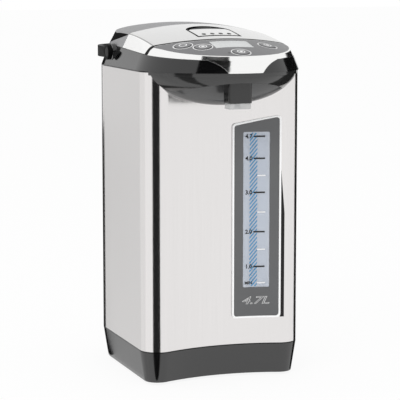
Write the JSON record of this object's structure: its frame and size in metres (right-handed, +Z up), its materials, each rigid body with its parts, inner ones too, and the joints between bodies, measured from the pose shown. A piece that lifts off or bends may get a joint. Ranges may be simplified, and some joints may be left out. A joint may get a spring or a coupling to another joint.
{
  "type": "electric airpot",
  "caption": "Electric airpot with a steel casing, hinged domed lid with release lever, push-button panel, water gauge, pump-fed spout and folding carrying handle.",
  "frame": {"origin": "centre of the bounding box on the plane the feet stand on", "axes": "+Z up, -Y the front with the spout, +X the right side seen from the front"},
  "size_m": [0.1868, 0.27, 0.3826],
  "materials": {
    "steel": "fine vertical brushing",
    "collar_plastic": "polished",
    "base_plastic": "satin",
    "silver_trim": "satin silver",
    "lid_grey": "satin",
    "panel_grey": "satin",
    "button_grey": "satin",
    "display_clear": "clear",
    "clear_plastic": "clear",
    "white_plastic": "polished",
    "black_plastic": "polished",
    "rubber": "matte",
    "silicone": "matte",
    "bright_steel": "bright",
    "heater_alloy": "cast",
    "board": "satin"
  },
  "bodies": {
    "pot": {"base_skirt": "base_plastic", "base_plate": "base_plastic", "rubber_feet": "rubber", "base_screws": "bright_steel", "outer_casing": "steel", "collar": "collar_plastic", "hinge_pin": "bright_steel", "spout_hood": "collar_plastic", "spout_bowl": "collar_plastic", "nozzle_cover": "collar_plastic", "nozzle_tip": "clear_plastic", "spout_pipe": "silicone", "gauge_frame": "white_plastic", "gauge_panel": "panel_grey", "gauge_window": "clear_plastic", "gauge_housing": "white_plastic", "gauge_scale": "white_plastic", "sight_tube": "clear_plastic", "inner_tank": "steel", "tank_seal": "silicone", "heater": "heater_alloy", "thermostat": "black_plastic", "pump_motor": "bright_steel", "pump_housing": "white_plastic", "inlet_hose": "silicone", "riser_hose": "silicone", "power_inlet": "black_plastic", "power_board": "board", "control_bezel": "silver_trim", "control_panel": "panel_grey", "display_window": "display_clear", "display_module": "black_plastic", "control_board": "board", "latch_strike": "bright_steel", "handle_pivots": "black_plastic"},
    "lid": {"lid_shell": "lid_grey", "lid_trim": "silver_trim", "lid_gasket": "silicone", "lid_liner": "steel", "lid_screws": "bright_steel", "steam_valve": "white_plastic", "lever_pin": "bright_steel"},
    "lever": {"lid_lever": "silver_trim"},
    "handle": {"carry_handle": "black_plastic"},
    "impeller": {"pump_impeller": "white_plastic"},
    "button_reboil_cap": {"button_reboil": "button_grey"},
    "button_lock_cap": {"button_lock": "button_grey"},
    "button_dispense_cap": {"button_dispense": "button_grey"},
    "button_temperature_cap": {"button_temperature": "button_grey"}
  },
  "joints": [
    {"name": "lid_hinge", "type": "hinge", "parent": "pot", "child": "lid", "pos_m": [0, 0.1235, 0.36625], "axis": [-1, 0, 0], "range_deg": [0, 85]},
    {"name": "lever_pivot", "type": "hinge", "parent": "lid", "child": "lever", "pos_m": [0, -0.054, 0.36748], "axis": [1, 0, 0], "range_deg": [0, 25], "stiffness_Nm_per_rad": 0.05},
    {"name": "handle_swing", "type": "hinge", "parent": "pot", "child": "handle", "pos_m": [0, 0.048, 0.351], "axis": [1, 0, 0], "range_deg": [0, 95]},
    {"name": "impeller_spin", "type": "hinge", "parent": "pot", "child": "impeller", "pos_m": [0, -0.0298, 0.04], "axis": [0, 0, 1], "continuous": true},
    {"name": "reboil_press", "type": "slide", "parent": "pot", "child": "button_reboil_cap", "axis": [0.1667, 0.2208, -0.961], "range_m": [0, 0.0012], "stiffness_N_per_m": 800},
    {"name": "lock_press", "type": "slide", "parent": "pot", "child": "button_lock_cap", "axis": [0.11, 0.244, -0.9635], "range_m": [0, 0.0012], "stiffness_N_per_m": 800},
    {"name": "dispense_press", "type": "slide", "parent": "pot", "child": "button_dispense_cap", "axis": [0, 0.2832, -0.9591], "range_m": [0, 0.0012], "stiffness_N_per_m": 800},
    {"name": "temperature_press", "type": "slide", "parent": "pot", "child": "button_temperature_cap", "axis": [-0.1367, 0.2372, -0.9618], "range_m": [0, 0.0012], "stiffness_N_per_m": 800}
  ]
}
